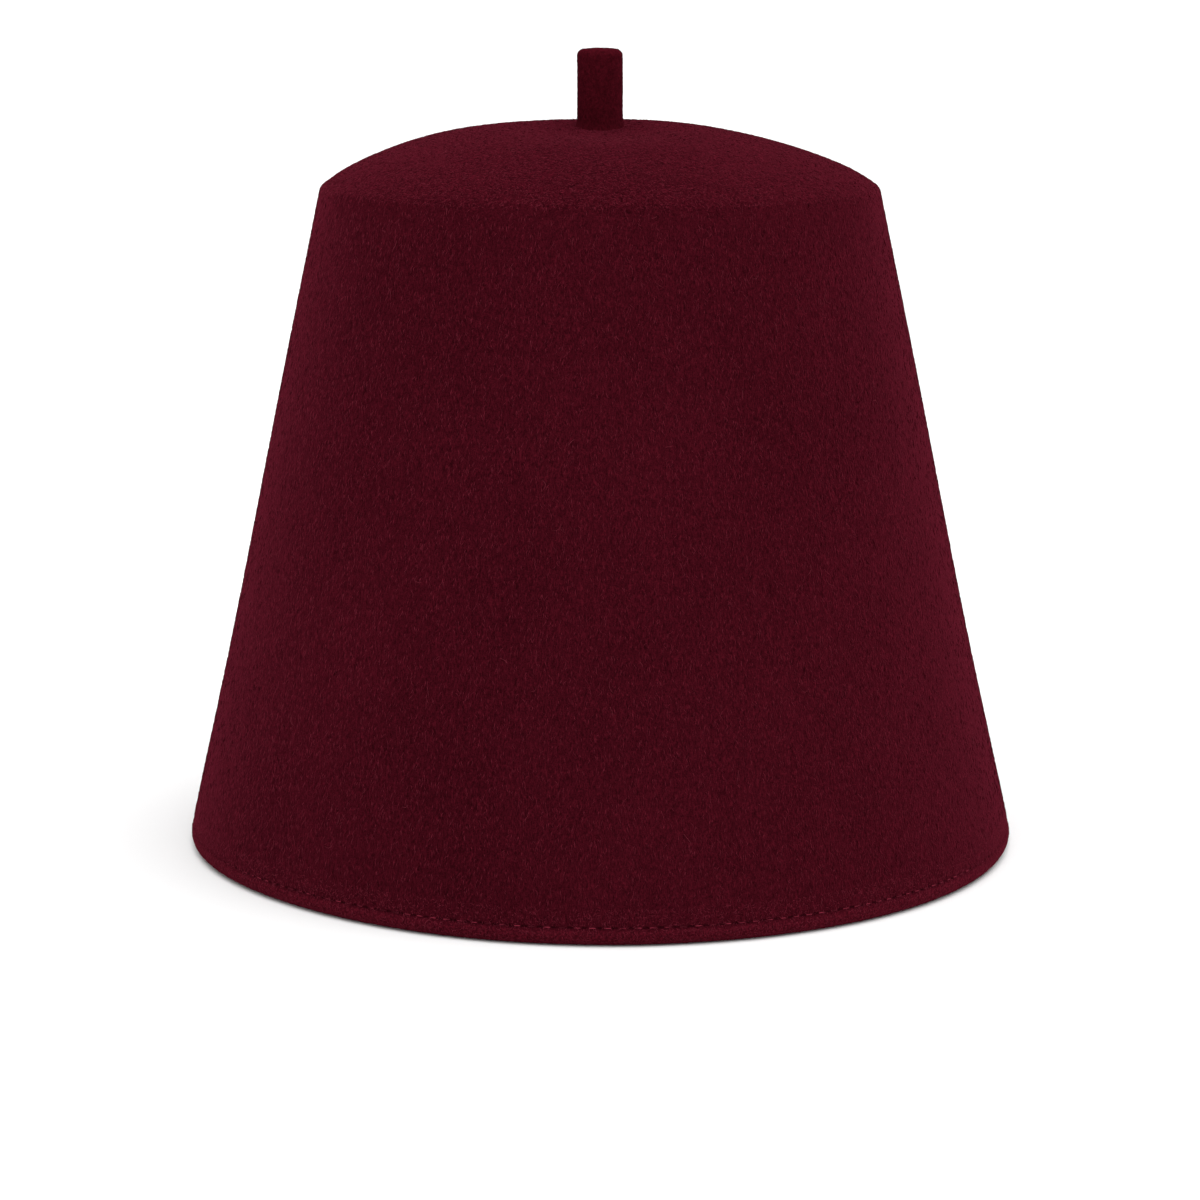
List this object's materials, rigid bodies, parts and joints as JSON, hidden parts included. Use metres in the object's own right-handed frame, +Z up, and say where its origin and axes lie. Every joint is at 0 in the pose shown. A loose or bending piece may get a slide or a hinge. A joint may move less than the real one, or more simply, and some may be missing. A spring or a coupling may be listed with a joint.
{
  "type": "fez hat",
  "caption": "Tapered oval felt hat, hollow and open below, with a soft shoulder, a low domed crown, a folded edge and a short felt stem on top.",
  "frame": {"origin": "middle of the oval rim, on the surface that the folded edge stands on", "axes": "+Z up through the stem, -Y out of the hat's front, +X to the right as seen from the front; the rim's longer axis runs along Y"},
  "size_m": [0.1791, 0.2, 0.1695],
  "materials": {
    "body_felt": "matt pressed wool felt, dark wine red, with a short nap",
    "stem_felt": "matt rolled wool felt, a shade darker than the body"
  },
  "bodies": {
    "root": {"felt_body": "body_felt", "stem": "stem_felt"}
  },
  "joints": []
}
